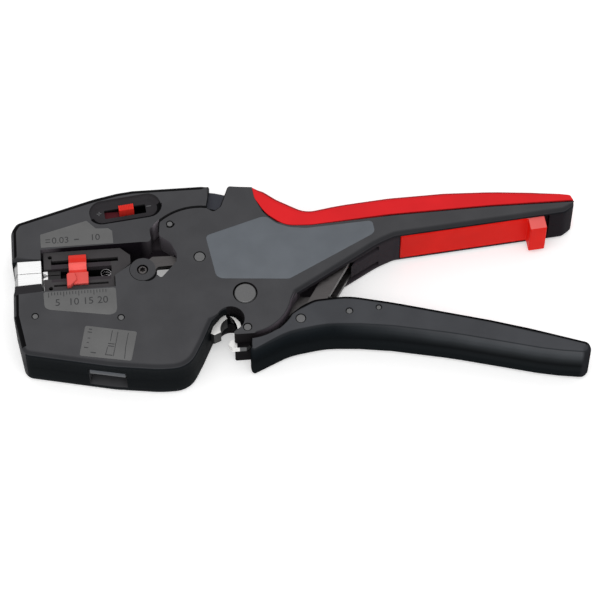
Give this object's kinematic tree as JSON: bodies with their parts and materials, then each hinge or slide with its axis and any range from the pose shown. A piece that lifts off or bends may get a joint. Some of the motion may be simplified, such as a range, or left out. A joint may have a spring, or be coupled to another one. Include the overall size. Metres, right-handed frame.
{
  "type": "wire stripping, cutting and crimping pliers",
  "caption": "Electrician's automatic wire stripper with a side cutter and a ferrule crimper in one head, squeezed shut by a hinged lower handle.",
  "frame": {"origin": "centre of the bounding box in the plan, at the flat rear face the tool rests on", "axes": "+X along the wire from the jaws to the handles, +Y from the lower handle to the upper handle, +Z out of the front face"},
  "size_m": [0.1898, 0.0748, 0.0185],
  "materials": {
    "dark_plastic": "fine grain, dark grey",
    "black_plastic": "satin black",
    "red_plastic": "satin red",
    "red_grip": "soft-touch red",
    "steel": "blasted",
    "bright_steel": "ground"
  },
  "bodies": {
    "housing": {"housing_front": "dark_plastic", "housing_rear": "dark_plastic", "grip_insert": "red_grip", "grip_jaw_lower": "bright_steel", "head_pin_front": "steel", "head_pin_rear": "steel", "shoulder_pin": "steel", "jaw_pivot_pin": "steel", "main_pivot_bolt": "steel", "die_pin": "steel", "cutter_anvil": "steel", "cutter_screw": "steel", "blade_cartridge": "black_plastic", "cartridge_spring": "bright_steel", "crimp_die_fixed": "steel", "latch_leaf": "steel"},
    "upper_jaw": {"upper_jaw_front": "dark_plastic", "upper_jaw_rear": "dark_plastic", "jaw_arm": "steel", "grip_jaw_upper": "bright_steel"},
    "depth_slider": {"depth_adjuster": "red_plastic"},
    "cutter": {"cutter_blade": "steel"},
    "carriage": {"draw_rod": "steel", "blade_upper": "bright_steel", "blade_lower": "bright_steel"},
    "length_stop": {"length_stop": "red_plastic"},
    "lower_handle": {"handle_shell_front": "black_plastic", "handle_shell_rear": "black_plastic", "handle_core": "steel", "handle_pin": "steel", "handle_screw_1": "steel", "handle_screw_2": "steel", "crimp_die_moving": "bright_steel"},
    "links": {"link_front": "steel", "link_rear": "steel", "link_pin_lower": "steel", "link_pin_upper": "steel"},
    "lock": {"lock_slider": "red_plastic"}
  },
  "joints": [
    {"name": "handle_hinge", "type": "hinge", "parent": "housing", "child": "lower_handle", "pos_m": [-0.01825, -0.00577, 0.009], "axis": [0, 0, 1], "range_deg": [0, 15], "stiffness_Nm_per_rad": 0.5, "springref_deg": -17.19},
    {"name": "upper_jaw_hinge", "type": "hinge", "parent": "housing", "child": "upper_jaw", "pos_m": [-0.03245, 0.00932, 0.009], "axis": [0, 0, -1], "range_deg": [0, 11.5], "stiffness_Nm_per_rad": 0.3, "springref_deg": -11.46},
    {"name": "cutter_hinge", "type": "hinge", "parent": "housing", "child": "cutter", "pos_m": [-0.05165, 0.00583, 0.009], "axis": [0, 0, -1], "range_deg": [0, 16]},
    {"name": "carriage_slide", "type": "slide", "parent": "housing", "child": "carriage", "axis": [1, 0, 0], "range_m": [0, 0.0073]},
    {"name": "link_hinge", "type": "hinge", "parent": "lower_handle", "child": "links", "pos_m": [0.00445, -0.01027, 0.009], "axis": [0, 0, 1], "range_deg": [-32.5, 0]},
    {"name": "length_stop_slide", "type": "slide", "parent": "housing", "child": "length_stop", "axis": [1, 0, 0], "range_m": [-0.003, 0.004]},
    {"name": "depth_slide", "type": "slide", "parent": "upper_jaw", "child": "depth_slider", "axis": [0.994, 0.1097, 0], "range_m": [-0.0034, 0.0034]},
    {"name": "lock_slide", "type": "slide", "parent": "housing", "child": "lock", "axis": [0.9962, 0.0872, 0], "range_m": [0, 0.0015]}
  ],
  "couplings": [
    {"joint": "cutter_hinge", "follows": "handle_hinge", "ratio": 1.0667},
    {"joint": "carriage_slide", "follows": "handle_hinge", "m_per_rad": 0.02785},
    {"joint": "link_hinge", "follows": "handle_hinge", "ratio": -2.1628}
  ]
}
